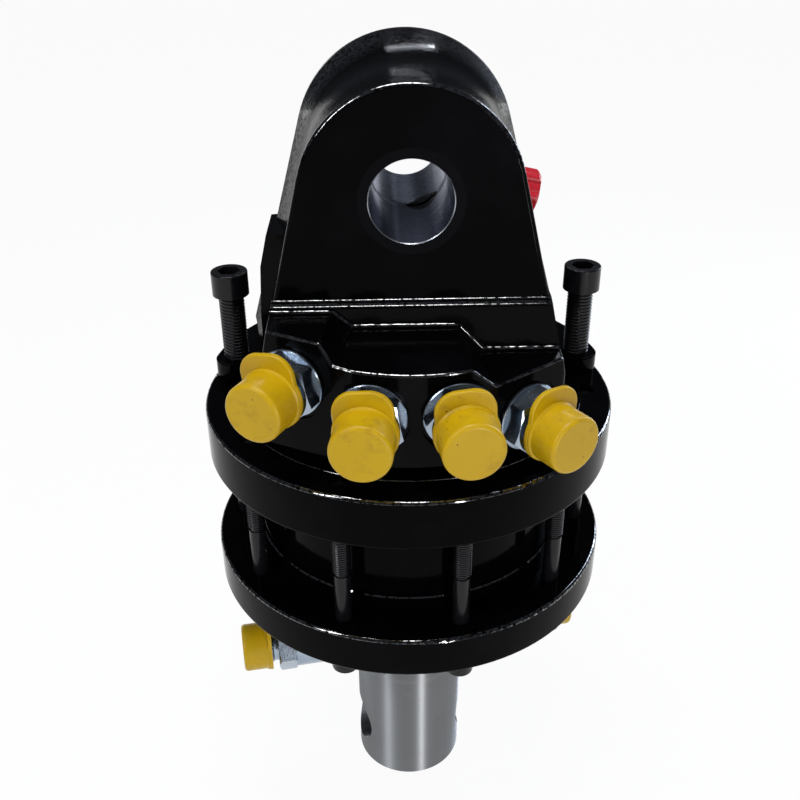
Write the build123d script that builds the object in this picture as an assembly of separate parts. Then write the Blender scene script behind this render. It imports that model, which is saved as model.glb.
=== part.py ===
from build123d import *
import math
import os

# Grapple rotator. Millimetres, +Z up, the front with the four hose ports faces -Y.
# The origin is the centre of the hanger pin, where the pin axis crosses the turning axis.
# Every height below is measured from the top face of the upper flange; place() lowers a
# finished piece by PIN_HEIGHT, so the hanger pin ends up at the origin.

PIN_HEIGHT = 111.0          # hanger pin centre above the upper flange
FLANGE_R = 100.0            # both flanges
UPPER_FLANGE = 25.0         # thickness
LOWER_TOP = -76.5           # top face of the lower flange
LOWER_BOTTOM = -97.5
STATOR_R = 77.0
STATOR_FLOOR = -69.5        # raised seat the stator ring stands on
BOLT_CIRCLE_R = 88.0
BOLT_COUNT = 10
BOLT_PHASE = 14.0           # degrees from the front, towards +X
LUG_HALF = 49.0             # half the thickness of the hanger lug
PIN_R = 17.5                # hanger pin bore
BUSH_R = 22.0               # outside of the two hanger bushes
JOURNAL_R = 30.0            # shaft where it runs in the lower bush and seal
SHAFT_R = 29.75             # bare end that the grapple's clamp slides on to
STUB_TOP = -175.0           # the bare end starts here, under the lower ports
SHAFT_END = -248.0
CROSS_PIN_Z = -222.0
CROSS_PIN_R = 15.0
SPINDLE_R = 24.0            # upper end of the shaft, inside the casting
SPINDLE_TOP = 50.0
ROTOR_R = 52.0              # vane rotor
VANE_COUNT = 6
PORT_REACH = 85.0           # turning axis to the spot-faced seats of the upper ports
PORT_ANGLES = (-27.0, -8.0, 7.0, 33.0)
PORT_OFFSETS = (-13.8, -6.3, 8.0, 2.7)
PORT_HEIGHTS = (41.4, 32.3, 32.3, 23.2)
HEXAGON_TURNS = (43, 40, 56, 18)
CAP_TURNS = (10, 5, 4, -5)
SPOT_FACE_R = 17.0
NOSE_R = 87.2               # round middle of the port nose
NOSE_FLOOR = 9.0            # underside of the port nose, clear of the flange
NOSE_BACK = (64.0, 57.6, 46.8)      # its three levels at the foot of the lug
NOSE_FRONT = (61.2, 51.5, 42.2)     # and just in front of the ports
LOWER_PORT_Z = -157.0
ROTOR_TURN = 10.0           # the shaft is drawn as photographed, ports 10 degrees off the X axis
LONG_SCREW_ANGLE = 102.0
LONG_SCREW_R = 88.5


def tube(outer, inner, low, high):
    """Upright ring, or a plain cylinder when inner is zero."""
    body = Pos(0, 0, (low + high) / 2) * Cylinder(outer, high - low)
    if inner > 0:
        body -= Pos(0, 0, (low + high) / 2) * Cylinder(inner, high - low + 2)
    return body


def turned(*outline):
    """Solid of revolution about Z from (radius, height) corners."""
    face = make_face(Polyline(*outline, close=True))
    return revolve(Plane.XZ * face, Axis.Z, 360)


def place(shape, name, color):
    """Lower a piece so the hanger pin is the origin, name it and export it."""
    moved = Pos(0, 0, -PIN_HEIGHT) * shape
    solids = moved.solids()
    moved = solids[0] if len(solids) == 1 else Compound(children=list(solids))
    moved.label = name
    moved.color = Color(*color)
    export_step(moved, "parts/" + name + ".step")


def around(count, phase, radius):
    """Places on a circle; the angle runs from the front (-Y) towards +X."""
    spots = []
    for index in range(count):
        angle = math.radians(phase + index * 360 / count)
        spots.append((radius * math.sin(angle), -radius * math.cos(angle)))
    return spots


def on_circle(angle_from_front, radius):
    angle = math.radians(angle_from_front)
    return radius * math.sin(angle), -radius * math.cos(angle)


BLACK = (0.03, 0.03, 0.035)
STEEL = (0.6, 0.61, 0.62)
ZINC = (0.72, 0.74, 0.76)
BRONZE = (0.6, 0.42, 0.2)
RUBBER = (0.05, 0.05, 0.05)
YELLOW = (0.85, 0.58, 0.02)
RED = (0.7, 0.03, 0.05)


# Upper casting: lug, port blocks and flange in one piece


def arch(depth, radius, lean):
    """Outline of the lug at one depth: round crown about the pin, sides leaning outwards."""
    slope = math.radians(lean)
    foot = (radius + PIN_HEIGHT * math.sin(slope)) / math.cos(slope)
    shoulder_x = radius * math.cos(slope)
    shoulder_z = PIN_HEIGHT + radius * math.sin(slope)
    outline = Line((-foot, 0), (-shoulder_x, shoulder_z))
    outline += ThreePointArc((-shoulder_x, shoulder_z), (0, PIN_HEIGHT + radius), (shoulder_x, shoulder_z))
    outline += Line((shoulder_x, shoulder_z), (foot, 0))
    outline += Line((foot, 0), (-foot, 0))
    plane = Plane(origin=(0, depth, 0), x_dir=(1, 0, 0), z_dir=(0, -1, 0))
    return plane * make_face(outline)


def hanger_lug():
    """Thick eye, waisted like a spool, with a wider rolled rim at the back."""
    front = extrude(arch(-LUG_HALF, 47, 13.5), 3, dir=(0, 1, 0))
    front = fillet(front.faces().sort_by(Axis.Y)[0].outer_wire().edges().filter_by_position(Axis.Z, 1, 200), 1.8)
    waist = loft([
        arch(-LUG_HALF + 3, 47, 13.5),
        arch(-12, 44, 14),
        arch(22, 46, 14.6),
        arch(LUG_HALF - 7, 52, 15.3),
    ])
    rim = extrude(arch(LUG_HALF - 7, 52, 15.3), 7, dir=(0, 1, 0))
    rim = fillet(rim.faces().sort_by(Axis.Y)[-1].outer_wire().edges().filter_by_position(Axis.Z, 1, 200), 3)
    return front + waist + rim


def port_plane(index, reach):
    """Plane on the port's axis, Z pointing out of the port, local Y upwards."""
    angle = math.radians(PORT_ANGLES[index])
    out = Vector(math.sin(angle), -math.cos(angle), 0)
    side = Vector(math.cos(angle), math.sin(angle), 0)
    point = out * reach + side * PORT_OFFSETS[index] + Vector(0, 0, PORT_HEIGHTS[index])
    return Plane(origin=point, x_dir=side, z_dir=out)


def nose_section(depth, levels, left_ramp, right_ramp):
    """Cross-section of the nose: three levels joined by two ramps."""
    left, middle, right = levels
    outline = Polyline(
        (-95, NOSE_FLOOR), (-95, left), (left_ramp[0], left), (left_ramp[1], middle),
        (right_ramp[0], middle), (right_ramp[1], right), (95, right), (95, NOSE_FLOOR),
        close=True,
    )
    plane = Plane(origin=(0, depth, 0), x_dir=(1, 0, 0), z_dir=(0, -1, 0))
    return plane * make_face(outline)


def port_nose():
    """Stepped nose that carries the four ports, round in the middle and flat at both sides."""
    reach = PORT_REACH + 0.9
    blend = math.degrees(math.acos(reach / NOSE_R))     # where a flat runs into the round middle
    chord = NOSE_R * math.sin(math.radians(blend))
    left, right = PORT_ANGLES[0] + blend, PORT_ANGLES[3] - blend
    fan = Polyline((0, 0), on_circle(left, 130), on_circle((left + right) / 2, 130), on_circle(right, 130), close=True)
    plan = Circle(NOSE_R) & make_face(fan)
    for index, low, high in ((0, -60, chord), (3, -chord, 60)):
        flat = Pos((low + high) / 2, -(reach + 30) / 2) * Rectangle(high - low, reach - 30)
        plan += Rot(0, 0, PORT_ANGLES[index]) * flat
    plan &= Pos(0, -60) * Rectangle(132, 60)
    ends = plan.vertices().group_by(Axis.X)
    plan = fillet([ends[0].sort_by(Axis.Y)[0], ends[-1].sort_by(Axis.Y)[0]], 4)
    nose = Pos(0, 0, NOSE_FLOOR - 2) * extrude(plan, 80)
    stepped = loft(
        [nose_section(-30, (65.3, 60.5, 49.0), (-30.0, -20.0), (17.5, 28.5)),
         nose_section(-51, NOSE_BACK, (-33.7, -25.5), (19.7, 30.3)),
         nose_section(-95, NOSE_FRONT, (-41.2, -37.4), (24.2, 34.7))],
        ruled=True,
    )
    sides = Polyline((-73.5, 0), (-59.8, 66.5), (59.8, 66.5), (73.5, 0), close=True)
    wedge = extrude(Plane.XZ * make_face(sides), 100)
    nose = nose & stepped & wedge
    rims = nose.edges().filter_by(lambda edge: edge.center().Z > 41 and edge.center().Y < -52.5)
    return fillet(rims, 1.2)


def deck():
    """Body under the lug: drafted front and sides, undercut above the flange bolts."""
    front = Polyline(
        (-LUG_HALF + 1, 69), (-LUG_HALF, 68.6), (-LUG_HALF - 1.6, 66.5), (-LUG_HALF - 9, 0), (10, 0), (10, 69),
        close=True,
    )
    body = extrude(Plane.YZ * make_face(front), 80, both=True)
    sides = Polyline((-73.5, 0), (-59.8, 66.5), (-59.3, 69), (59.3, 69), (59.8, 66.5), (73.5, 0), close=True)
    body &= extrude(Plane.XZ * make_face(sides), 80, both=True)
    return body


def rear_pad():
    """Cast pad on the left rear shoulder; it shows past the lug in the silhouette."""
    outline = Polyline((-40, 0), (-72.5, 0), (-72.5, 32), (-71, 58), (-67.2, 74), (-40, 76), close=True)
    pad = extrude(Plane.XZ * make_face(outline), 31)
    pad = Pos(0, LUG_HALF - 1, 0) * pad
    return pad


def rear_rim():
    """Raised segment round the back of the flange, ending in a boss at each long screw."""
    fan = [on_circle(LONG_SCREW_ANGLE + step * (360 - 2 * LONG_SCREW_ANGLE) / 4, 160) for step in range(5)]
    outline = (Circle(99) - Circle(66)) & make_face(Polyline((0, 0), *fan, close=True))
    for angle in (-LONG_SCREW_ANGLE, LONG_SCREW_ANGLE):
        outline += Pos(*on_circle(angle, LONG_SCREW_R)) * Circle(10.5)
    rim = Pos(0, 0, -1) * extrude(outline, 9.8)
    return rim + Pos(0, 0, 8.8) * extrude(offset(outline, -0.6), 0.8)


def upper_casting():
    flange = fillet(tube(FLANGE_R, 0, -UPPER_FLANGE, 0).edges(), 1.8)
    foot = turned((0, -1), (84.5, -1), (84.5, 1.0), (76, 1.0), (72, 3.5), (70, 8), (70, 16), (0, 16))
    mass = hanger_lug() + deck() + rear_pad()
    undercut = turned((0, 0), (76, 0), (78, 8), (92, 24), (130, 24), (130, 180), (0, 180))
    mass &= undercut
    body = flange + foot + mass + rear_rim() + port_nose()

    # hanger bore, grease drilling and its tapped seat
    body -= Pos(0, 0, PIN_HEIGHT) * Rot(90, 0, 0) * Cylinder(BUSH_R, 200)
    grease = Pos(0, 0, PIN_HEIGHT) * Rot(0, 102, 0)
    body -= grease * Pos(0, 0, 40) * Cylinder(2, 60)
    body -= grease * Pos(0, 0, 60) * Cylinder(4, 40)
    body -= grease * Pos(0, 0, 56) * Cylinder(11.5, 20)

    # bore for the top of the shaft, with the bush seat, four seal grooves and two oil grooves
    body -= tube(SPINDLE_R + 0.3, 0, -30, SPINDLE_TOP + 2)
    body -= tube(SPINDLE_R + 4, 0, -30, -UPPER_FLANGE + 17)
    for level in (48.0, 33.0, 15.0):
        body -= tube(SPINDLE_R + 4, 0, level - 2.5, level + 2.5)
    for level in (PORT_HEIGHTS[0], PORT_HEIGHTS[3]):
        body -= tube(SPINDLE_R + 4, 0, level - 3.4, level + 3.4)

    # ports: tapped mouth, then a gallery to the shaft bore or down to the vane chamber
    for index in range(4):
        plane = port_plane(index, PORT_REACH)
        body -= plane * Pos(0, 0, 5) * Cylinder(SPOT_FACE_R, 10)
        body -= plane * Pos(0, 0, -8.5) * Cylinder(10, 19)
        inner_end = 15 if index in (0, 3) else 54
        length = PORT_REACH - 10 - inner_end
        body -= plane * Pos(0, 0, -10 - length / 2) * Cylinder(3.5, length)
        if index in (1, 2):
            drop = port_plane(index, 54).origin
            body -= Pos(drop.X, drop.Y, (PORT_HEIGHTS[index] - 30) / 2) * Cylinder(4, PORT_HEIGHTS[index] + 30)

    # tapped holes: the flange bolts come through from below, the long screws from above
    for x, y in around(BOLT_COUNT, BOLT_PHASE, BOLT_CIRCLE_R):
        body -= Pos(x, y, -13) * Cylinder(4.05, 30)
    for angle in (-LONG_SCREW_ANGLE, LONG_SCREW_ANGLE):
        x, y = on_circle(angle, LONG_SCREW_R)
        body -= Pos(x, y, -5) * Cylinder(6.05, 36)

    # groove for the upper O-ring
    body -= tube(69.1, 65.9, -UPPER_FLANGE - 1, -UPPER_FLANGE + 2.3)
    return body


def hanger_bush(low, high):
    """Hardened bush, its lead-in chamfer at the outer end."""
    half = (high - low) / 2
    body = turned((PIN_R, -half), (BUSH_R - 0.02, -half), (BUSH_R - 0.02, half), (PIN_R + 0.7, half), (PIN_R, half - 0.7))
    turn = 90 if high <= 0 else -90
    return Pos(0, (low + high) / 2, PIN_HEIGHT) * Rot(turn, 0, 0) * body


def grease_nipple():
    body = turned((0, 41), (3.9, 41), (3.9, 46.1), (0, 46.1))
    collar = Pos(0, 0, 46.1) * extrude(RegularPolygon(5.5, 6), 3.9)
    stem = turned((0, 50), (3.2, 50), (3.2, 52), (2.2, 53), (3.2, 54.5), (2.2, 56.5), (0, 56.5))
    nipple = body + collar + stem
    nipple -= Pos(0, 0, 47) * Cylinder(0.9, 22)
    return Pos(0, 0, PIN_HEIGHT) * Rot(0, 102, 0) * nipple


def nipple_cap():
    """Lobed push-on cover over the grease nipple."""
    body = tube(8.6, 0, 50.4, 59)
    for x, y in around(6, 0, 8.2):
        body += Pos(x, y, 54.7) * Cylinder(2.3, 8.6)
    body &= turned((0, 50.4), (10.6, 50.4), (10.6, 57.6), (9.0, 59), (0, 59))
    body -= tube(4.0, 0, 49, 57)
    return Pos(0, 0, PIN_HEIGHT) * Rot(0, 102, 0) * body


# Upper ports


def port_adapter(screwed, body_length, body_radius, start, flats):
    """Hydraulic adapter on +Z: screwed end below zero, hexagon, then the male hose end."""
    solid = turned((0, -screwed), (9.4, -screwed), (9.95, -screwed + 0.8), (9.95, 0), (0, 0))
    solid += tube(body_radius, 0, 0, start)
    top = start + flats
    hexagon = Pos(0, 0, start) * extrude(RegularPolygon(13.5, 6, major_radius=False), flats)
    guard = turned((0, start), (14.7, start), (15.6, start + 0.6), (15.6, top - 1.2), (13.4, top), (0, top))
    solid += hexagon & guard
    solid += turned(
        (0, top), (9.3, top), (9.3, top + 2.6), (10.3, top + 3.4), (10.3, body_length - 0.8),
        (9.6, body_length), (0, body_length)
    )
    solid -= turned((0, -screwed - 1), (5, -screwed - 1), (5, body_length - 5), (8.5, body_length + 1), (0, body_length + 1))
    return solid


def sealing_ring(outer):
    """Bonded seal: a metal ring with its rubber lip moulded to the inside."""
    return turned((10.1, 0), (outer - 0.4, 0), (outer, 0.4), (outer, 1.8), (outer - 0.4, 2.2), (10.1, 2.2))


def dust_cap(low, high):
    """Soft cap over the male end: cup with a rounded end, collar at the mouth and a pull tab on +Y."""
    cup = fillet(tube(12.9, 0, low, high).edges().sort_by(Axis.Z)[-1], 1.9)
    neck = turned((0, low + 1.9), (14.2, low + 1.9), (12.9, low + 3.4), (0, low + 3.4))
    collar = tube(13.8, 0, low, low + 2.0)
    tab = Pos(0, 7.2, low) * extrude(RectangleRounded(25.2, 24.4, 9.4), 2.0)
    plate = collar + tab
    plate = fillet(plate.edges().group_by(Axis.Z)[-1], 0.8)
    body = cup + (neck & tube(13.6, 0, low, high)) + plate
    body -= turned((0, low - 1), (10.7, low - 1), (10.5, high - 2), (0, high - 2))
    return body


# Stator, lower flange and their fixings


def stator_ring():
    ring = tube(STATOR_R, 0, STATOR_FLOOR, -UPPER_FLANGE)
    cam = extrude(Ellipse(60, ROTOR_R + 0.4), 60)
    ring -= Pos(0, 0, STATOR_FLOOR - 5) * cam
    for index in (1, 2):
        spot = port_plane(index, 54).origin
        ring -= Pos(spot.X, spot.Y, -UPPER_FLANGE - 15) * Cylinder(4.5, 32)
    for x in (-68.5, 68.5):
        ring -= Pos(x, 0, STATOR_FLOOR) * Cylinder(4.02, 16)
    return chamfer(ring.faces().filter_by(GeomType.CYLINDER).sort_by(SortBy.AREA)[-1].edges().filter_by(GeomType.CIRCLE), 0.8)


def lower_flange():
    plate = fillet(tube(FLANGE_R, 0, LOWER_BOTTOM, LOWER_TOP).edges(), 1.8)
    seat = tube(78.3, 0, LOWER_TOP - 1, STATOR_FLOOR)
    seat = chamfer(seat.edges().sort_by(Axis.Z)[-1], 0.6)
    body = plate + seat
    body -= tube(JOURNAL_R + 1.2, 0, LOWER_BOTTOM - 1, STATOR_FLOOR + 1)
    body -= tube(JOURNAL_R + 4, 0, LOWER_BOTTOM - 1, -84)
    body -= tube(JOURNAL_R + 8, 0, LOWER_BOTTOM - 1, -90.3)
    body -= tube(43.5, 0, -82.5, STATOR_FLOOR + 1)
    body -= tube(75.6, 73.0, STATOR_FLOOR - 2.3, STATOR_FLOOR + 1)
    for x in (-68.5, 68.5):
        body -= Pos(x, 0, STATOR_FLOOR) * Cylinder(4.02, 16)
    for x, y in around(BOLT_COUNT, BOLT_PHASE, BOLT_CIRCLE_R):
        body -= Pos(x, y, (LOWER_BOTTOM + LOWER_TOP) / 2) * Cylinder(4.5, 30)
    return body


def socket_screw(thread_r, head_r, head_height, length, key):
    """Socket head screw on Z, the underside of the head at zero, pointing down."""
    shank = turned((0, 0), (thread_r, 0), (thread_r, -length + 1), (thread_r - 1, -length), (0, -length))
    head = fillet(tube(head_r, 0, 0, head_height).edges().sort_by(Axis.Z)[-1], 0.7)
    head -= Pos(0, 0, head_height * 0.45) * extrude(RegularPolygon(key / 2, 6, major_radius=False), head_height)
    return shank + head


def flange_bolts():
    group = []
    bolt = socket_screw(3.95, 6.5, 8, 96.5, 6)
    bolt -= tube(5, 3.45, -49.5, -48)
    for x, y in around(BOLT_COUNT, BOLT_PHASE, BOLT_CIRCLE_R):
        group.append(Pos(x, y, LOWER_BOTTOM - 1.6) * Rot(180, 0, 0) * bolt)
    return Compound(children=group)


def bolt_washers():
    group = []
    washer = turned((4.2, -1.6), (7.75, -1.6), (8, -1.35), (8, -0.25), (7.75, 0), (4.2, 0))
    for x, y in around(BOLT_COUNT, BOLT_PHASE, BOLT_CIRCLE_R):
        group.append(Pos(x, y, LOWER_BOTTOM) * washer)
    return Compound(children=group)


def long_screw(angle):
    x, y = on_circle(angle, LONG_SCREW_R)
    return Pos(x, y, 44) * socket_screw(5.95, 9, 12, 64, 10)


def dowels():
    pin = chamfer(tube(4, 0, STATOR_FLOOR - 7.5, STATOR_FLOOR + 7.5).edges().filter_by(GeomType.CIRCLE), 0.5)
    return Compound(children=[Pos(-68.5, 0, 0) * pin, Pos(68.5, 0, 0) * pin])


def squeezed_ring(outer, inner, low, high):
    """O-ring as it sits, flattened between its groove and the face it seals."""
    corner = 0.8
    return turned(
        (inner, low + corner), (inner + corner, low), (outer - corner, low), (outer, low + corner),
        (outer, high - corner), (outer - corner, high), (inner + corner, high), (inner, high - corner)
    )


# Turning assembly


def output_shaft():
    """One forging: spindle on top, keyed seat for the vane rotor, journal, bare end with the pin hole."""
    body = turned(
        (0, SHAFT_END), (SHAFT_R - 1.2, SHAFT_END), (SHAFT_R, SHAFT_END + 1.2), (SHAFT_R, STUB_TOP),
        (JOURNAL_R, STUB_TOP + 3), (JOURNAL_R, -70.2),
        (36, -70.2), (36, -25.6), (SPINDLE_R, -25.6), (SPINDLE_R, SPINDLE_TOP - 1), (SPINDLE_R - 1, SPINDLE_TOP),
        (0, SPINDLE_TOP)
    )
    body = Rot(0, 0, -52.5) * body
    body -= Pos(0, 0, CROSS_PIN_Z) * Rot(0, 90, 0) * Cylinder(CROSS_PIN_R, 80)
    # two oil ways, each from its own groove on the spindle down to one of the lower ports
    for side, level in ((-1, PORT_HEIGHTS[0]), (1, PORT_HEIGHTS[3])):
        way_x = side * 13
        body -= Pos(way_x, 0, (level + LOWER_PORT_Z) / 2) * Cylinder(4, level - LOWER_PORT_Z + 8)
        body -= Pos(side * 20, 0, level) * Rot(0, 90, 0) * Cylinder(3, 14)
        body -= Pos(side * 22, 0, LOWER_PORT_Z) * Rot(0, 90, 0) * Cylinder(10, 20)
    # keyways for the vane rotor
    for turn in (0, 180):
        body -= Rot(0, 0, turn) * Pos(0, 36, -47.5) * Box(10, 8, 36)
    return Rot(0, 0, ROTOR_TURN) * body


def rotor_keys():
    key = Pos(0, 36, -47.5) * Box(9.96, 7.9, 35.9)
    return Rot(0, 0, ROTOR_TURN) * Compound(children=[key, Rot(0, 0, 180) * key])


def vane_turn(index):
    return Rot(0, 0, ROTOR_TURN + index * 360 / VANE_COUNT)


def vane_rotor():
    ring = tube(ROTOR_R, 36.02, -69.2, -25.3)
    for turn in (0, 180):
        ring -= Rot(0, 0, ROTOR_TURN + turn) * Pos(0, 36, -47.5) * Box(10, 8, 60)
    for index in range(VANE_COUNT):
        ring -= vane_turn(index) * Pos(47.0, 0, -47.5) * Box(13.0, 5.1, 60)
        ring -= vane_turn(index) * Pos(40.5, 0, -47.5) * Cylinder(3.1, 60)
    return ring


def vanes():
    group = []
    blade = Pos(46.8, 0, -47.25) * Box(10.0, 5.0, 43.7)
    blade = fillet(blade.edges().filter_by(Axis.Z).sort_by(Axis.X)[2:4], 1.6)
    for index in range(VANE_COUNT):
        group.append(vane_turn(index) * blade)
    return Compound(children=group)


def vane_springs():
    """One wave spring behind each vane, drawn as a thin bowed strip."""
    group = []
    strip = Pos(41.2, 0, -47.25) * Box(0.9, 3.6, 36)
    strip = fillet(strip.edges().filter_by(Axis.Y), 0.3)
    for index in range(VANE_COUNT):
        group.append(vane_turn(index) * strip)
    return Compound(children=group)


def thrust_race(low, high, groove_level):
    race = tube(42.5, JOURNAL_R + 1.5, low, high)
    return race - Pos(0, 0, groove_level) * Torus(36.8, 3.05)


def thrust_cage():
    cage = tube(41.5, 32.5, -76.9, -75.5)
    for x, y in around(18, 0, 36.8):
        cage -= Pos(x, y, -76.2) * Cylinder(3.2, 5)
    return cage


def thrust_balls():
    return Compound(children=[Pos(x, y, -76.2) * Sphere(3) for x, y in around(18, 0, 36.8)])


def shaft_seal():
    body = turned(
        (37.96, -97.2), (37.96, -90.4), (31.4, -90.4), (31.4, -92), (35.2, -92.4), (35.2, -94.5),
        (30.3, -95.2), (30.3, -96.0), (33, -97.2)
    )
    return body


def spindle_seals():
    group = []
    for level in (48.0, 33.0, 15.0):
        group.append(tube(SPINDLE_R + 3.9, SPINDLE_R + 0.3, level - 2.4, level + 2.4))
    return Compound(children=group)


def lower_side(side):
    """Frame of one radial port on the shaft; Z points outwards, local Y is up."""
    turn = math.radians(ROTOR_TURN)
    out = Vector(side * math.cos(turn), side * math.sin(turn), 0)
    across = Vector(-out.Y, out.X, 0)
    return Plane(origin=out * JOURNAL_R + Vector(0, 0, LOWER_PORT_Z), x_dir=across, z_dir=out)


os.makedirs("parts", exist_ok=True)

place(upper_casting(), "upper_casting", BLACK)
place(hanger_bush(-LUG_HALF, -3), "front_bush", STEEL)
place(hanger_bush(3, LUG_HALF), "rear_bush", STEEL)
place(grease_nipple(), "grease_nipple", ZINC)
place(nipple_cap(), "grease_nipple_cap", RED)
place(stator_ring(), "stator_ring", BLACK)
place(lower_flange(), "lower_flange", BLACK)
place(flange_bolts(), "flange_bolts", BLACK)
place(bolt_washers(), "bolt_washers", ZINC)
place(long_screw(-LONG_SCREW_ANGLE), "long_screw_left", BLACK)
place(long_screw(LONG_SCREW_ANGLE), "long_screw_right", BLACK)
place(dowels(), "stator_dowels", STEEL)
place(squeezed_ring(68.95, 66.05, -UPPER_FLANGE + 0.02, -UPPER_FLANGE + 2.25), "upper_o_ring", RUBBER)
place(squeezed_ring(75.45, 73.15, STATOR_FLOOR - 2.25, STATOR_FLOOR - 0.02), "lower_o_ring", RUBBER)
place(tube(SPINDLE_R + 3.98, SPINDLE_R + 0.05, -24.9, -8.1), "upper_bush", BRONZE)
place(tube(JOURNAL_R + 3.97, JOURNAL_R + 0.05, -90.2, -84), "lower_bush", BRONZE)
place(spindle_seals(), "spindle_seals", RUBBER)
place(shaft_seal(), "shaft_seal", RUBBER)
place(thrust_race(-82.4, -78.0, -76.2), "thrust_race_fixed", STEEL)
place(thrust_race(-74.4, -70.3, -76.2), "thrust_race_turning", STEEL)
place(thrust_cage(), "thrust_cage", BRONZE)
place(thrust_balls(), "thrust_balls", STEEL)

for index in range(4):
    mouth = port_plane(index, PORT_REACH)
    number = str(index + 1)
    place(mouth * sealing_ring(15.4), "port_seal_" + number, ZINC)
    place(mouth * Rot(0, 0, HEXAGON_TURNS[index]) * port_adapter(14, 28.4, 10.0, 2.2, 8.6), "port_adapter_" + number, ZINC)
    place(mouth * Rot(0, 0, CAP_TURNS[index]) * dust_cap(13.9, 30.8), "port_cap_" + number, YELLOW)

place(output_shaft(), "output_shaft", STEEL)
place(vane_rotor(), "vane_rotor", STEEL)
place(rotor_keys(), "rotor_keys", STEEL)
place(vanes(), "vanes", STEEL)
place(vane_springs(), "vane_springs", STEEL)

for side, word in ((-1, "left"), (1, "right")):
    mouth = lower_side(side)
    place(mouth * port_adapter(14, 62.6, 14, 36, 9.8), "shaft_adapter_" + word, ZINC)
    place(mouth * dust_cap(49.5, 65.2), "shaft_cap_" + word, YELLOW)
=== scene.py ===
import bpy
import bmesh
import math
from mathutils import Euler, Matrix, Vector


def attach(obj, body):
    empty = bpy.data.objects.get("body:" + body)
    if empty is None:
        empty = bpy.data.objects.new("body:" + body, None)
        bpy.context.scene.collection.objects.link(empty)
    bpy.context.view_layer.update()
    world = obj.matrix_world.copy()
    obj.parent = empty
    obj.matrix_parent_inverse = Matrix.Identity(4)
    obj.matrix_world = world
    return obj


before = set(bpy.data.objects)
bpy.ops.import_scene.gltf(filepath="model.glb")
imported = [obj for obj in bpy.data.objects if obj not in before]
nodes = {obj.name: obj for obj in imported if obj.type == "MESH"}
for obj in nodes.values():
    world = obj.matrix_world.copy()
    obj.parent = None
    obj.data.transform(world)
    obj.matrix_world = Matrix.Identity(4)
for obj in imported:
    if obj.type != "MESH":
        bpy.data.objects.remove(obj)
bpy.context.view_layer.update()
scene = bpy.context.scene
scene.view_settings.view_transform = "Standard"


# Studio: soft lamps over a white sweep. The camera sees white walls all round; polished
# skins mirror walls that turn dim above eye level, as in a workshop with a dark roof.

class Wire:
    """A socket with arithmetic: each operator adds its Math node."""

    def __init__(self, maker, socket):
        self.maker = maker
        self.socket = socket

    def _join(self, operation, first, second):
        return self.maker.add("Math", {"operation": operation}, {0: first, 1: second})

    def __add__(self, other):
        return self._join("ADD", self, other)

    def __radd__(self, other):
        return self._join("ADD", other, self)

    def __sub__(self, other):
        return self._join("SUBTRACT", self, other)

    def __rsub__(self, other):
        return self._join("SUBTRACT", other, self)

    def __mul__(self, other):
        return self._join("MULTIPLY", self, other)

    def __rmul__(self, other):
        return self._join("MULTIPLY", other, self)

    def __truediv__(self, other):
        return self._join("DIVIDE", self, other)

    def __pow__(self, other):
        return self._join("POWER", self, other)

    def __gt__(self, other):
        return self._join("GREATER_THAN", self, other)

    def __lt__(self, other):
        return self._join("LESS_THAN", self, other)

    def __abs__(self):
        return self._join("ABSOLUTE", self, 0.0)

    def over(self, other):
        """The larger of the two."""
        return self._join("MAXIMUM", self, other)


class Finish:
    """One material or world: its nodes come from add(), its surface from paint()."""

    def __init__(self, name, owner=None):
        self.material = owner or bpy.data.materials.new(name)
        self.material.use_nodes = True
        self.tree = self.material.node_tree
        self.tree.nodes.clear()

    def add(self, kind, settings=None, values=None, output=0):
        node = self.tree.nodes.new("ShaderNode" + kind)
        for key, value in (settings or {}).items():
            setattr(node, key, value)
        for key, value in (values or {}).items():
            socket = node.inputs[key]
            if isinstance(value, Wire):
                self.tree.links.new(value.socket, socket)
            elif hasattr(value, "__len__") and len(socket.default_value) == 4 and len(value) == 3:
                socket.default_value = (*value, 1)
            else:
                socket.default_value = value
        return Wire(self, node.outputs[output])

    def where(self):
        return self.add("TexCoord", output="Object")

    def along(self, axis):
        """The Object coordinate on one axis, in metres."""
        return self.add("SeparateXYZ", {}, {"Vector": self.where()}, output=axis)

    def speckle(self, scale, detail=2.0, rough=0.5, at=None):
        values = {"Vector": at or self.where(), "Scale": scale, "Detail": detail, "Roughness": rough}
        return self.add("TexNoise", {}, values)

    def cells(self, scale):
        """Distance to the nearest of scattered points."""
        return self.add("TexVoronoi", {}, {"Vector": self.where(), "Scale": scale})

    def ramp(self, wire, low, high):
        """Runs from 0 at low to 1 at high, and stays there."""
        return self.add("MapRange", {"clamp": True}, {0: wire, 1: low, 2: high, 3: 0.0, 4: 1.0})

    def blend(self, factor, first, second):
        return self.add("Mix", {"data_type": "RGBA"}, {0: factor, 6: first, 7: second}, output=2)

    def relief(self, height, strength, distance):
        return self.add("Bump", {}, {"Height": height, "Strength": strength, "Distance": distance})

    def paint(self, color, metallic=0.0, roughness=0.5, normal=None, more=None):
        values = {"Base Color": color, "Metallic": metallic, "Roughness": roughness}
        if normal is not None:
            values["Normal"] = normal
        values.update(more or {})
        self.close(self.add("BsdfPrincipled", {}, values))
        return self.material

    def close(self, surface, kind="OutputMaterial"):
        end = self.tree.nodes.new("ShaderNode" + kind)
        self.tree.links.new(surface.socket, end.inputs["Surface"])


def soft_lamp(name, place, aim, width, height, power, color):
    lamp = bpy.data.lights.new(name, "AREA")
    lamp.shape = "RECTANGLE"
    lamp.size = width
    lamp.size_y = height
    lamp.energy = power
    lamp.color = color
    holder = bpy.data.objects.new(name, lamp)
    holder.location = place
    holder.rotation_euler = (Vector(aim) - Vector(place)).to_track_quat("-Z", "Y").to_euler()
    scene.collection.objects.link(holder)


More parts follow.
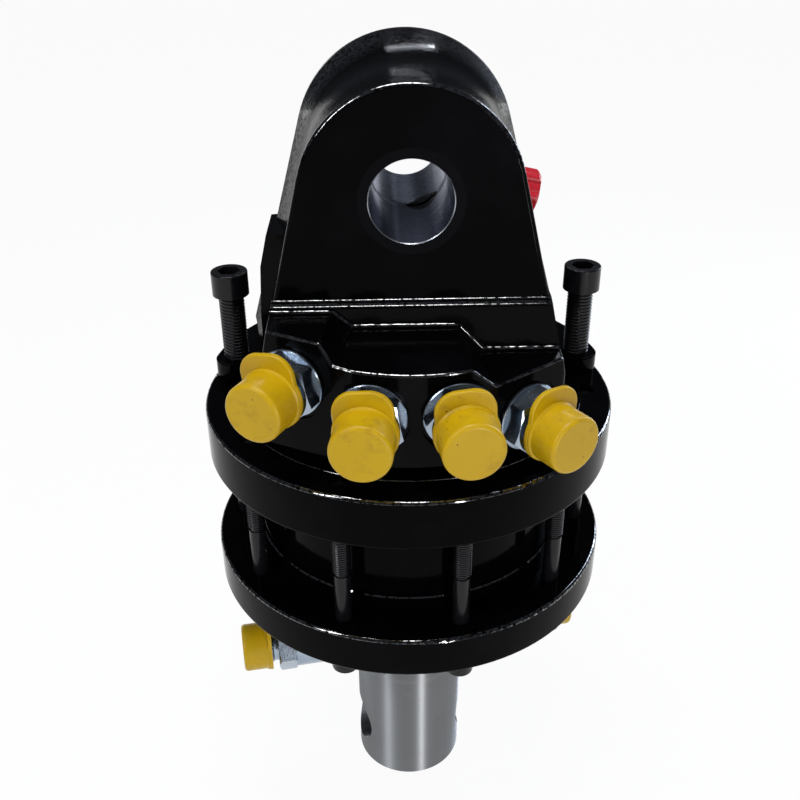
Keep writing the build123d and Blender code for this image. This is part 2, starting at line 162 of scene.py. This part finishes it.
soft_lamp("overhead", (-0.1, -0.1, 1.1), (0, 0, -0.1), 0.8, 0.25, 9, (1.0, 1.0, 1.0))
soft_lamp("back_window", (0.1, 1.0, 0.75), (0, 0, 0), 0.5, 0.05, 1.7, (0.86, 0.92, 1.0))
soft_lamp("left_window", (-0.75, -0.7, 0.6), (0, 0, -0.1), 0.15, 0.7, 5, (0.93, 0.96, 1.0))
soft_lamp("right_strip", (0.4, -0.95, -0.1), (0, 0, -0.25), 0.05, 0.5, 3, (1.0, 1.0, 1.0))
soft_lamp("right_back_window", (0.85, 0.6, 0.3), (0, 0, -0.1), 0.25, 0.9, 6, (0.72, 0.83, 1.0))

WALL_FADES, WALL_IS_DIM = -0.25, 0.05       # rise of the mirrored ray, 1 is straight up

room = Finish("studio", bpy.data.worlds.new("studio"))
scene.world = room.material
ray = room.add("TexCoord", output="Generated")
ray_rise = room.add("SeparateXYZ", {}, {"Vector": ray}, output="Z")
mirrored = 1 - room.add("LightPath", output="Is Camera Ray")
dimness = room.ramp(ray_rise, WALL_FADES, WALL_IS_DIM) * mirrored
wall_color = room.blend(dimness, (1, 1, 1), (0.06, 0.065, 0.075))
walls = room.add("Background", {}, {"Color": wall_color, "Strength": 1.0})
glow = room.add("Background", {}, {"Color": (0.9, 0.94, 1.0), "Strength": 0.3})


def background_rays(maker):
    """1 on what the camera, a mirror or a glass shows, 0 for the light that falls on the object."""
    camera_ray = maker.add("LightPath", output="Is Camera Ray")
    glossy_ray = maker.add("LightPath", output="Is Glossy Ray")
    return camera_ray.over(glossy_ray).over(maker.add("LightPath", output="Is Transmission Ray"))


room.close(room.add("MixShader", {}, {0: background_rays(room), 1: glow, 2: walls}), "OutputWorld")

# Sweep: a pale floor a little below the end of the hanging shaft. It shows as white
# and keeps the shadow.

SWEEP = -0.375
SWEEP_REACH = 30
SWEEP_WHITE = 0.94          # share of plain white, the rest takes light and shadow
SWEEP_CORNERS = ((-1, -1), (1, -1), (1, 1), (-1, 1))

floor_mesh = bpy.data.meshes.new("sweep")
floor_corners = [(x * SWEEP_REACH, y * SWEEP_REACH, SWEEP) for x, y in SWEEP_CORNERS]
floor_mesh.from_pydata(floor_corners, [], [(0, 1, 2, 3)])
floor = bpy.data.objects.new("sweep", floor_mesh)
scene.collection.objects.link(floor)
sweep = Finish("white_sweep")
paper = sweep.blend(sweep.speckle(60), (0.8, 0.8, 0.8), (0.84, 0.84, 0.84))
lit = sweep.add("BsdfDiffuse", {}, {"Color": paper})
white = sweep.add("Emission", {}, {"Color": (1, 1, 1), "Strength": 1.0})
sweep.close(sweep.add("MixShader", {}, {0: background_rays(sweep) * SWEEP_WHITE, 1: lit, 2: white}))
floor_mesh.materials.append(sweep.material)

# Camera: about 0.43 m in front of the shaft's axis and above the pin, looking 30 degrees
# down with a lens of 44 mm.

camera = bpy.data.cameras.new("camera")
camera.lens = 44.09
camera.sensor_width = 36
stand = bpy.data.objects.new("camera", camera)
stand.location = (-0.014247, -0.429460, 0.125145)
stand.rotation_euler = Euler([math.radians(a) for a in (60.408, 0.344, -1.554)], "XYZ")
scene.collection.objects.link(stand)
scene.camera = stand


def refinish(material, *names):
    """Gives CAD nodes their finished surface."""
    for name in names:
        for place in nodes[name].material_slots:
            place.material = material


# Upper casting: one iron casting, machined on the lug's face, the flange and the port seats,
# then brushed with thick gloss black enamel that beads on the cast skin and thins on its edges.

LUG_FACE = 0.0486           # the lug's two machined faces, from the middle
LUG_FOOT = -0.0424          # where its front face ends above the port nose
FLANGE_TOP = -0.1105        # the cast skin starts just above the machined flange


def enamel(finish, cast, rim=1.0):
    """Black enamel; cast is 1 where the skin under it is rough, rim is 1 where edges on
    every side shine and 0 where only those in front do."""
    grain = finish.speckle(620, 3, 0.65)
    lumps = finish.speckle(150, 2, 0.5)
    pimples = 1 - finish.ramp(finish.cells(70), 0.0, 0.09)
    facing = finish.add("TexCoord", output="Normal")
    rise = finish.add("SeparateXYZ", {}, {"Vector": facing}, output="Z")
    forward = 0.0 - finish.add("SeparateXYZ", {}, {"Vector": facing}, output="Y")
    slanted = finish.ramp(rise, 0.2, 0.35) * (1 - finish.ramp(rise, 0.9, 0.97))
    edge = slanted * finish.ramp(forward, 0.2, 0.32).over(rim)
    beads = finish.ramp(grain, 0.38, 0.56) * edge
    cast_relief = cast * (grain + lumps) * (0.32 + edge * 1.4)
    machined_relief = (1 - cast) * (lumps * 0.25 + pimples * 0.35)
    bloom = finish.ramp(finish.speckle(14, 5, 0.65), 0.5, 0.8)
    return finish.paint(
        finish.blend(bloom, (0.001, 0.001, 0.0013), (0.004, 0.004, 0.0052)),
        roughness=0.06 + lumps * 0.07,
        normal=finish.relief(cast_relief + machined_relief, 0.4, 0.0005),
        more={"Specular IOR Level": 0.03, "Coat Weight": cast * 0.01 + beads,
              "Coat Roughness": 0.08, "Coat IOR": 3.0})


casting = Finish("gloss_black_enamel_on_cast_iron")
depth = casting.along(1)
level = casting.along(2)
machined = (abs(depth) > LUG_FACE) * (level > LUG_FOOT) * (depth < 0.0)
above_flange = casting.ramp(level, FLANGE_TOP - 0.0004, FLANGE_TOP + 0.0004)
cast_enamel = enamel(casting, above_flange * (1 - machined), 1 - above_flange)
refinish(cast_enamel, "upper_casting")


def add_piece(name, mesh, material, body):
    """A finished mesh becomes a piece that moves with one CAD body."""
    mesh.name = name
    mesh.materials.clear()
    mesh.materials.append(material)
    piece = bpy.data.objects.new(name, mesh)
    scene.collection.objects.link(piece)
    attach(piece, body)
    return piece


# Cast fillets where the port nose and the lug meet the drafted face, and round the flange's
# step: the mould was rounded here by hand, and the enamel pools and shines along them.

FLANGE_Z = -0.111
DRAFT_FOOT_Y = -0.058
DRAFT_RISE = 0.0074 / 0.0665            # the drafted face leans back as it rises
PROUD = 0.0003
NOSE_HIGH, NOSE_MIDDLE, NOSE_LOW = 0.0640, 0.0576, 0.0467      # the nose's levels at the drafted face
LUG_FOOT_HEIGHT, LEDGE_HEIGHT = 0.0685, 0.0662
FLANGE_STEP_R = 0.0846
FILLET_R = 0.0006                       # times the width that each fillet has
FILLET_WIDTHS = {"nose": 2.4, "lug_foot": 1.5, "ledge": 1.3, "flange_step": 0.8}
RAMP_WIDTH = 1.5


def on_draft(x, height):
    """A point just proud of the drafted face, its height measured from the flange's top."""
    return x, DRAFT_FOOT_Y - PROUD + DRAFT_RISE * height, FLANGE_Z + height + PROUD


def on_nose(x, y, height):
    return x, y, FLANGE_Z + height


def front_ring(radius, height, reach, count):
    """Points round the front, as far as reach degrees to either side."""
    angles = [math.radians(-reach + 2 * reach * n / count) for n in range(count + 1)]
    return [(radius * math.sin(a), -radius * math.cos(a), FLANGE_Z + height) for a in angles]


def stepped(points, step=0.002):
    """The same path with a point about every step, so that its corners stay crisp."""
    run = [points[0]]
    for start, end in zip(points, points[1:]):
        count = max(1, round(math.dist(start, end) / step))
        run += [tuple(a + (b - a) * n / count for a, b in zip(start, end)) for n in range(1, count + 1)]
    return run


fillets = {
    "nose": [on_draft(x, height) for x, height in (
        (-0.0600, NOSE_HIGH), (-0.0337, NOSE_HIGH), (-0.0256, NOSE_MIDDLE),
        (0.0198, NOSE_MIDDLE), (0.0305, NOSE_LOW), (0.0632, NOSE_LOW))],
    "left_ramp_top": [on_nose(-0.0337, -0.0510, NOSE_HIGH), on_nose(-0.0379, -0.0752, 0.0624)],
    "left_ramp_foot": [on_nose(-0.0255, -0.0518, NOSE_MIDDLE), on_nose(-0.0331, -0.0787, 0.0537)],
    "right_ramp_top": [on_nose(0.0197, -0.0518, NOSE_MIDDLE), on_nose(0.0230, -0.0835, 0.0531)],
    "right_ramp_foot": [on_nose(0.0303, -0.0530, NOSE_LOW), on_nose(0.0332, -0.0798, 0.0438)],
    "lug_foot": [on_nose(side * 0.0590, -0.0491, LUG_FOOT_HEIGHT) for side in (-1, 1)],
    "ledge": [on_draft(side * 0.0594, LEDGE_HEIGHT) for side in (-1, 1)],
    "flange_step": front_ring(FLANGE_STEP_R, 0.0004, 100, 80)}

fillet_path = bpy.data.curves.new("cast_fillets", "CURVE")
fillet_path.dimensions = "3D"
fillet_path.bevel_depth = FILLET_R
fillet_path.bevel_resolution = 5
fillet_path.use_fill_caps = True
for name, corners in fillets.items():
    width = FILLET_WIDTHS.get(name, RAMP_WIDTH)
    points = stepped(corners)
    run = fillet_path.splines.new("POLY")
    run.points.add(len(points) - 1)
    for n, (place, point) in enumerate(zip(run.points, points)):
        place.co = (*point, 1)
        place.radius = width * (1 + 0.07 * math.sin(2.3 * n) + 0.05 * math.sin(0.9 * n))
path_holder = bpy.data.objects.new("cast_fillets_path", fillet_path)
scene.collection.objects.link(path_holder)
bpy.context.view_layer.update()
swept_path = path_holder.evaluated_get(bpy.context.evaluated_depsgraph_get())
fillet_mesh = bpy.data.meshes.new_from_object(swept_path)
bpy.data.objects.remove(path_holder)
fillet_mesh.shade_smooth()
add_piece("cast_fillets", fillet_mesh, cast_enamel, "housing")

# Hanger bushes: hardened steel pressed into the lug, ground in the bore. Their ends were
# brushed over with the casting's enamel, up to the edge of the bore.

BORE_R = 0.0175
BUSH_SEAM = 0.003           # half the space between the two bushes
SLOT_START, SLOT_END = -93, -38     # the grease slot, in degrees round the pin from +X towards +Z
SLOT_MIDDLE, SLOT_HALF = (SLOT_START + SLOT_END) / 2, (SLOT_END - SLOT_START) / 2
SLOT_SHADE_REACH = 0.0085       # how far the painted shade round the slot reaches along the bore to either side

ground = Finish("ground_bush_steel")
bore_place = ground.add("Mapping", {}, {"Vector": ground.where(), "Scale": (60, 900, 60)})
rings = ground.speckle(1.0, 3, 0.6, at=bore_place)
across, along_pin, up = ground.along(0), ground.along(1), ground.along(2)
from_pin = (across * across + up * up) ** 0.5
painted = (abs(along_pin) > LUG_FACE - 0.0002) * (from_pin > BORE_R + 0.0004)
lip = (abs(along_pin) > LUG_FACE - 0.0006) * (1 - painted)
turn = ground.add("Math", {"operation": "ARCTAN2"}, {0: up, 1: across}) * (180 / math.pi)
crescent = 1 - ((turn - SLOT_MIDDLE) / SLOT_HALF) ** 2.0
# Painted shade: a lens of black is painted on the bore round the grease slot, so the slot's dark reaches
# wider than the slot itself.
painted_slot_shade = (abs(along_pin) < crescent * SLOT_SHADE_REACH) * (from_pin < BORE_R + 0.0003)
streak_place = ground.add("Mapping", {}, {"Vector": ground.where(), "Scale": (130, 2, 130)})
streaks = ground.ramp(ground.speckle(1.0, 1, 0.5, at=streak_place), 0.5, 0.68)
steel = ground.blend(streaks, (0.18, 0.19, 0.225), (0.5, 0.515, 0.6))
bare = ground.blend(lip, steel, (0.5, 0.52, 0.56))
# Black where the ends carry the enamel, and painted shade round the slot.
black = painted.over(painted_slot_shade)
bush_steel = ground.paint(
    ground.blend(black, bare, (0.0018, 0.0018, 0.0022)),
    metallic=1 - black,
    roughness=0.22 + rings * 0.12,
    normal=ground.relief(rings, 0.3, 0.0002),
    more={"Specular IOR Level": 0.06, "Specular Tint": (0.7, 0.72, 0.78)})
refinish(bush_steel, "front_bush", "rear_bush")


# Grease gallery between the bushes: a thin steel spacer closes the seam, but for the
# crescent slot low on the right through which the grease reaches the pin.

SPACER_STEP = 3             # degrees
SPACER_INNER_R, SPACER_OUTER_R = BORE_R + 0.00005, BORE_R + 0.0012
SEAM_HALF = 0.00008         # the hairline that stays open between its two halves
SLOT_DEPTH = BUSH_SEAM - 0.0002

spacer = bmesh.new()
for side in (-1, 1):
    for step in range(0, 360, SPACER_STEP):
        corners = []
        for angle in (step, step + SPACER_STEP):
            slot_turn = (angle + 180) % 360 - 180
            opening = max(0.0, 1 - ((slot_turn - SLOT_MIDDLE) / SLOT_HALF) ** 2)
            edge = SEAM_HALF + opening * SLOT_DEPTH
            x, z = math.cos(math.radians(angle)), math.sin(math.radians(angle))
            for radius in (SPACER_INNER_R, SPACER_OUTER_R):
                for y in (edge, BUSH_SEAM):
                    corners.append(spacer.verts.new((radius * x, side * y, radius * z)))
        a, b, c, d, e, f, g, h = corners
        for quad in ((a, b, f, e), (c, g, h, d), (a, e, g, c), (b, d, h, f)):
            spacer.faces.new(quad)
bmesh.ops.remove_doubles(spacer, verts=spacer.verts, dist=1e-6)
bmesh.ops.recalc_face_normals(spacer, faces=spacer.faces)
spacer_mesh = bpy.data.meshes.new("bush_spacer")
spacer.to_mesh(spacer_mesh)
spacer.free()
spacer_mesh.shade_smooth()
add_piece("bush_spacer", spacer_mesh, bush_steel, "housing")

# Stator ring and lower flange: turned from plate, then painted as the casting is. The
# paint lies thin and even here and shows the faint ripple of the brush.

turned_iron = Finish("gloss_black_enamel_on_turned_iron")
brush_ripple = turned_iron.ramp(turned_iron.speckle(9, 3), 0.6, 0.9) * 0.12
refinish(enamel(turned_iron, brush_ripple), "stator_ring", "lower_flange")

# Flange bolts and the two long screws: hard steel with a black oxide skin, a little oily.
# Their threads are cut; each ridge is swept along its helix by Geometry Nodes.

black_oxide = Finish("black_oxide_steel")
haze = black_oxide.speckle(300, 3)
oxide = black_oxide.paint(
    black_oxide.blend(haze, (0.003, 0.003, 0.0035), (0.008, 0.008, 0.01)),
    roughness=0.16 + haze * 0.12,
    normal=black_oxide.relief(haze, 0.1, 0.0002),
    more={"Specular IOR Level": 0.25})
refinish(oxide, "flange_bolts", "long_screw_left", "long_screw_right")


def thread_tree():
    """Sweeps a diamond section along a helix and sets a copy on every point."""
    tree = bpy.data.node_groups.new("screw_thread", "GeometryNodeTree")
    kinds = {"Places": "Geometry", "Core radius": "Float", "Depth": "Float", "Pitch": "Float",
             "Length": "Float", "Finish": "Material"}
    for name, kind in kinds.items():
        tree.interface.new_socket(name=name, in_out="INPUT", socket_type="NodeSocket" + kind)
    tree.interface.new_socket(name="Threads", in_out="OUTPUT", socket_type="NodeSocketGeometry")

    def add(kind, settings=None, **values):
        node = tree.nodes.new(kind)
        for key, value in (settings or {}).items():
            setattr(node, key, value)
        for key, value in values.items():
            socket = node.inputs[key.replace("_", " ")]
            if isinstance(value, bpy.types.NodeSocket):
                tree.links.new(value, socket)
            else:
                socket.default_value = value
        return node

    given = add("NodeGroupInput").outputs
    turns = add("ShaderNodeMath", {"operation": "DIVIDE"})
    tree.links.new(given["Length"], turns.inputs[0])
    tree.links.new(given["Pitch"], turns.inputs[1])
    helix = add("GeometryNodeCurveSpiral", Resolution=24, Rotations=turns.outputs[0],
                Start_Radius=given["Core radius"], End_Radius=given["Core radius"], Height=given["Length"])
    upright = add("GeometryNodeSetCurveNormal", {"mode": "Z_UP"}, Curve=helix.outputs[0])
    section = add("GeometryNodeCurvePrimitiveCircle", Resolution=4, Radius=given["Depth"])
    ridge = add("GeometryNodeCurveToMesh", Curve=upright.outputs[0], Profile_Curve=section.outputs[0],
                Fill_Caps=True)
    turn = add("GeometryNodeInputNamedAttribute", {"data_type": "FLOAT_VECTOR"}, Name="turn")
    copies = add("GeometryNodeInstanceOnPoints", Points=given["Places"], Instance=ridge.outputs[0],
                 Rotation=turn.outputs[0])
    real = add("GeometryNodeRealizeInstances", Geometry=copies.outputs[0])
    coated = add("GeometryNodeSetMaterial", Geometry=real.outputs[0], Material=given["Finish"])
    tree.links.new(coated.outputs[0], add("NodeGroupOutput").inputs[0])
    return tree


THREAD = thread_tree()


def cut_threads(name, places, core, depth, pitch, length, material, body):
    """Threads starting at each (x, y, z, turn) and running up along the turned Z."""
    mesh = bpy.data.meshes.new(name + "_places")
    mesh.from_pydata([place[:3] for place in places], [], [])
    turns = mesh.attributes.new("turn", "FLOAT_VECTOR", "POINT")
    for index, place in enumerate(places):
        turns.data[index].vector = place[3]
    starts = bpy.data.objects.new(name + "_places", mesh)
    scene.collection.objects.link(starts)
    modifier = starts.modifiers.new("thread", "NODES")
    modifier.node_group = THREAD
    inputs = {item.name: item.identifier for item in THREAD.interface.items_tree if item.in_out == "INPUT"}
    sizes = {"Core radius": core, "Depth": depth, "Pitch": pitch, "Length": length, "Finish": material}
    for key, value in sizes.items():
        modifier[inputs[key]] = value
    bpy.context.view_layer.update()
    evaluated = starts.evaluated_get(bpy.context.evaluated_depsgraph_get())
    threads = bpy.data.meshes.new_from_object(evaluated)
    threads.name = name
    bpy.data.objects.remove(starts)
    threads.shade_flat()
    return add_piece(name, threads, material, body)


def on_circle(degrees, radius):
    """A place on a circle; the angle runs from the front towards +X."""
    angle = math.radians(degrees)
    return radius * math.sin(angle), -radius * math.cos(angle)


STRAIGHT = (0.0, 0.0, 0.0)
BOLT_COUNT, BOLT_PHASE, BOLT_CIRCLE_R = 10, 14, 0.088
BOLT_RELIEF = -0.1608       # top of the plain shank, below it no thread
UPPER_FLANGE_UNDERSIDE = -0.136
LONG_SCREW_ANGLE, LONG_SCREW_R = 102, 0.0885
LONG_SCREW_SEAT = -0.1010   # top of the boss that the long screw enters
LONG_SCREW_NECK = -0.0675   # underside of the head

bolt_angles = [BOLT_PHASE + 360 / BOLT_COUNT * n for n in range(BOLT_COUNT)]
cut_threads("flange_bolt_threads",
            [(*on_circle(angle, BOLT_CIRCLE_R), BOLT_RELIEF, STRAIGHT) for angle in bolt_angles],
            core=0.00395, depth=0.0003, pitch=0.00125, length=UPPER_FLANGE_UNDERSIDE - BOLT_RELIEF - 0.0002,
            material=oxide, body="housing")
screw_angles = (-LONG_SCREW_ANGLE, LONG_SCREW_ANGLE)
cut_threads("long_screw_threads",
            [(*on_circle(angle, LONG_SCREW_R), LONG_SCREW_SEAT, STRAIGHT) for angle in screw_angles],
            core=0.0059, depth=0.00045, pitch=0.00175, length=LONG_SCREW_NECK - LONG_SCREW_SEAT,
            material=oxide, body="housing")

# Washers, grease nipple, port adapters and their seals: steel with bright zinc plate,
# slightly blue, brushed by the spanner on the hexagon corners.

zinc = Finish("bright_zinc_plate")
cloud = zinc.speckle(90, 4, 0.6)
plate = zinc.paint(
    zinc.blend(cloud, (0.22, 0.28, 0.36), (0.52, 0.58, 0.66)),
    metallic=1.0, roughness=0.16 + cloud * 0.2,
    normal=zinc.relief(zinc.speckle(900, 2), 0.14, 0.0003))
UPPER_PORTS = range(1, 5)
refinish(plate, "bolt_washers", "grease_nipple", "shaft_adapter_left", "shaft_adapter_right",
         *["port_seal_%d" % n for n in UPPER_PORTS], *["port_adapter_%d" % n for n in UPPER_PORTS])

# Dust caps: pushed on to every hose end. Soft yellow plastic, slightly orange where it is
# thick, with dirt rubbed into the ends and a few black specks.

yellow = Finish("yellow_dust_cap_plastic")
shade = yellow.speckle(30, 3)
grime = yellow.ramp(yellow.speckle(160, 6, 0.7), 0.5, 0.72) * yellow.ramp(yellow.speckle(24, 2), 0.44, 0.62)
specks = 1 - yellow.ramp(yellow.cells(240), 0.06, 0.12)
rare = yellow.ramp(yellow.speckle(45, 1), 0.56, 0.6)
base = yellow.blend(shade, (0.47, 0.275, 0.001), (0.56, 0.36, 0.002))
dirty = yellow.blend(grime * 0.5, base, (0.2, 0.1, 0.012))
refinish(yellow.paint(
    yellow.blend(specks * rare * 0.85, dirty, (0.02, 0.015, 0.01)),
    roughness=0.3 + shade * 0.1 + grime * 0.15,
    normal=yellow.relief(yellow.speckle(260, 3) + yellow.speckle(60, 2) * 2, 0.2, 0.0004),
    more={"Specular IOR Level": 0.3}),
    "shaft_cap_left", "shaft_cap_right", *["port_cap_%d" % n for n in UPPER_PORTS])

# Lobed red cover: soft plastic, pushed over the grease nipple on the right flank
# to keep the dirt out.

red = Finish("red_cap_plastic")
refinish(red.paint(
    red.blend(red.speckle(200, 4), (0.45, 0.004, 0.014), (0.68, 0.015, 0.035)),
    roughness=0.35,
    normal=red.relief(red.speckle(300, 2), 0.1, 0.0003)), "grease_nipple_cap")

# Output shaft: one steel forging, turned and ground. The fine lines run round it, which
# draws the lamps out into streaks along it, and it carries a few stains.

satin = Finish("ground_shaft_steel")
line_place = satin.add("Mapping", {}, {"Vector": satin.where(), "Scale": (4, 4, 1100)})
lines = satin.speckle(1.0, 3, 0.6, at=line_place)
stains = satin.ramp(satin.speckle(70, 5, 0.7), 0.62, 0.75)
clean_steel = satin.blend(satin.speckle(18, 3), (0.3, 0.31, 0.32), (0.4, 0.41, 0.425))
shaft_steel = satin.paint(
    satin.blend(stains * 0.3, clean_steel, (0.16, 0.16, 0.165)),
    metallic=1.0, roughness=0.42 + lines * 0.12,
    normal=satin.relief(lines, 0.2, 0.0002),
    more={"Anisotropic": 1.0, "Anisotropic Rotation": 0.25})
refinish(shaft_steel, "output_shaft")

# Inner parts of the motor and the thrust bearing, seen only with the housing open:
# hardened steel, bronze bushes and cage, and black nitrile seals.

hard = Finish("hardened_steel")
refinish(hard.paint(
    hard.blend(hard.speckle(80, 4), (0.42, 0.43, 0.44), (0.58, 0.59, 0.6)),
    metallic=1.0, roughness=0.2 + hard.speckle(400, 2) * 0.1),
    "vane_rotor", "vanes", "rotor_keys", "vane_springs",
    "stator_dowels", "thrust_race_fixed", "thrust_race_turning", "thrust_balls")

bronze = Finish("bearing_bronze")
refinish(bronze.paint(
    bronze.blend(bronze.speckle(120, 4), (0.42, 0.24, 0.08), (0.58, 0.38, 0.16)),
    metallic=1.0, roughness=0.35),
    "upper_bush", "lower_bush", "thrust_cage")

rubber = Finish("seal_rubber")
refinish(rubber.paint(
    rubber.blend(rubber.speckle(300, 3), (0.012, 0.012, 0.012), (0.03, 0.03, 0.03)), roughness=0.6),
    "upper_o_ring", "lower_o_ring", "spindle_seals", "shaft_seal")
